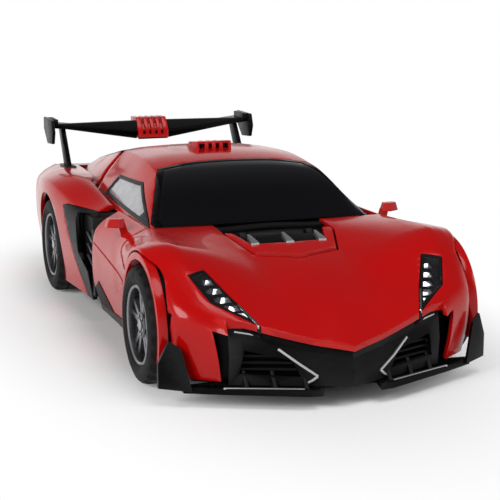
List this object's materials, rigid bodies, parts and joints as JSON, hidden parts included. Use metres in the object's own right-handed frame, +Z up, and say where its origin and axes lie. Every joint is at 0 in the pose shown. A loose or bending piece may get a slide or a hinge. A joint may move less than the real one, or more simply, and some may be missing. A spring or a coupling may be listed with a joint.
{
  "type": "transforming robot car",
  "caption": "Toy supercar whose hood rises on a torso link to become a standing robot, with a tipping roof, turning head, door arms on links and rolling wheels",
  "frame": {"origin": "middle of the footprint on the ground, in the car pose", "axes": "+Y from nose to tail, +X to the car's left, +Z up"},
  "size_m": [0.1544, 0.335, 0.09],
  "materials": {
    "red_gloss": "deep red glossy moulding",
    "black_plastic": "satin black moulding",
    "black_glass": "polished black glazing",
    "smoke_window": "pale smoked side glass",
    "silver_plastic": "silver painted plastic",
    "lamp_chrome": "chromed lamp reflector under a clear lens",
    "rim_metal": "dark wheel with a bright lip",
    "tyre": "moulded rubber with tread",
    "white_nylon": "white nylon",
    "battery_wrap": "shrink wrapped cells",
    "board": "solder masked board",
    "steel_pin": "bright steel pin"
  },
  "bodies": {
    "rear_body": {"rear_shell": "red_gloss", "engine_cover": "black_plastic", "tail_panel": "black_plastic", "bulkhead_panel_left": "red_gloss", "bulkhead_panel_right": "red_gloss", "side_intake_left": "black_plastic", "side_intake_right": "black_plastic", "leg_frame": "black_plastic", "shin_panel_left": "red_gloss", "shin_panel_right": "red_gloss", "rear_chassis": "black_plastic", "battery_cover": "black_plastic", "battery": "battery_wrap", "lift_gearbox": "white_nylon", "circuit_board": "board", "drive_gearbox_left": "white_nylon", "drive_gearbox_right": "white_nylon", "spoiler_blade": "black_plastic", "spoiler_fin": "red_gloss"},
    "torso": {"torso_frame": "black_plastic", "chest_trim": "silver_plastic", "belly_wedge": "red_gloss", "thigh_panel_left": "red_gloss", "thigh_panel_right": "red_gloss", "knee_pin": "steel_pin", "chest_pin": "steel_pin"},
    "hood": {"hood_shell": "red_gloss", "headlight_left": "lamp_chrome", "headlight_right": "lamp_chrome", "cowl_vent": "black_plastic", "bumper": "black_plastic", "splitter": "black_plastic", "hood_frame": "black_plastic"},
    "head": {"head_cowl": "red_gloss", "head_core": "black_plastic", "face_mask": "silver_plastic", "visor": "black_glass"},
    "roof": {"roof_shell": "red_gloss", "windscreen": "black_glass", "side_window_left": "smoke_window", "side_window_right": "smoke_window", "roof_pin": "steel_pin"},
    "support_roller": {"support_roller": "white_nylon"},
    "power_switch": {"power_switch": "black_plastic"},
    "swing_link_left": {"swing_link_left": "black_plastic"},
    "arm_left": {"arm_housing_left": "black_plastic", "door_left": "red_gloss", "fist_left": "silver_plastic"},
    "front_wheel_left": {"tyre_front_left": "tyre", "rim_front_left": "rim_metal"},
    "rear_wheel_left": {"tyre_rear_left": "tyre", "rim_rear_left": "rim_metal"},
    "swing_link_right": {"swing_link_right": "black_plastic"},
    "arm_right": {"arm_housing_right": "black_plastic", "door_right": "red_gloss", "fist_right": "silver_plastic"},
    "front_wheel_right": {"tyre_front_right": "tyre", "rim_front_right": "rim_metal"},
    "rear_wheel_right": {"tyre_rear_right": "tyre", "rim_rear_right": "rim_metal"}
  },
  "joints": [
    {"name": "torso_lift", "type": "hinge", "parent": "rear_body", "child": "torso", "pos_m": [0, 0.0175, 0.05], "axis": [-1, 0, 0], "range_deg": [0, 101.5]},
    {"name": "hood_level", "type": "hinge", "parent": "torso", "child": "hood", "pos_m": [0, -0.1295, 0.02], "axis": [1, 0, 0], "range_deg": [0, 101.5]},
    {"name": "roof_tip", "type": "hinge", "parent": "rear_body", "child": "roof", "pos_m": [0, 0.0605, 0.0755], "axis": [-1, 0, 0], "range_deg": [0, 111.66]},
    {"name": "head_turn", "type": "hinge", "parent": "hood", "child": "head", "pos_m": [0, -0.0715, 0.0552], "axis": [-1, 0, 0], "range_deg": [0, 99.99]},
    {"name": "arm_swing_left", "type": "hinge", "parent": "hood", "child": "swing_link_left", "pos_m": [0.038, -0.0795, 0.0347], "axis": [0, 0, 1], "range_deg": [0, 85]},
    {"name": "arm_turn_left", "type": "hinge", "parent": "swing_link_left", "child": "arm_left", "pos_m": [0.038, -0.1255, 0.0287], "axis": [0, 0, -1], "range_deg": [0, 69]},
    {"name": "front_wheel_spin_left", "type": "hinge", "parent": "arm_left", "child": "front_wheel_left", "pos_m": [0.066, -0.1015, 0.026], "axis": [1, 0, 0], "continuous": true},
    {"name": "rear_wheel_spin_left", "type": "hinge", "parent": "rear_body", "child": "rear_wheel_left", "pos_m": [0.066, 0.0885, 0.026], "axis": [1, 0, 0], "continuous": true},
    {"name": "arm_swing_right", "type": "hinge", "parent": "hood", "child": "swing_link_right", "pos_m": [-0.038, -0.0795, 0.0347], "axis": [0, 0, -1], "range_deg": [0, 85]},
    {"name": "arm_turn_right", "type": "hinge", "parent": "swing_link_right", "child": "arm_right", "pos_m": [-0.038, -0.1255, 0.0287], "axis": [0, 0, 1], "range_deg": [0, 69]},
    {"name": "front_wheel_spin_right", "type": "hinge", "parent": "arm_right", "child": "front_wheel_right", "pos_m": [-0.066, -0.1015, 0.026], "axis": [1, 0, 0], "continuous": true},
    {"name": "rear_wheel_spin_right", "type": "hinge", "parent": "rear_body", "child": "rear_wheel_right", "pos_m": [-0.066, 0.0885, 0.026], "axis": [1, 0, 0], "continuous": true},
    {"name": "roller_spin", "type": "hinge", "parent": "rear_body", "child": "support_roller", "pos_m": [0, -0.0059, 0.0061], "axis": [1, 0, 0], "continuous": true},
    {"name": "switch_slide", "type": "slide", "parent": "rear_body", "child": "power_switch", "axis": [0, 1, 0], "range_m": [0, 0.004]}
  ],
  "couplings": [
    {"joint": "hood_level", "follows": "torso_lift", "ratio": 1},
    {"joint": "roof_tip", "follows": "torso_lift", "ratio": 1.1},
    {"joint": "head_turn", "follows": "torso_lift", "ratio": 0.985},
    {"joint": "arm_turn_left", "follows": "arm_swing_left", "ratio": 0.81175},
    {"joint": "arm_swing_right", "follows": "arm_swing_left", "ratio": 1},
    {"joint": "arm_turn_right", "follows": "arm_swing_left", "ratio": 0.81175}
  ]
}
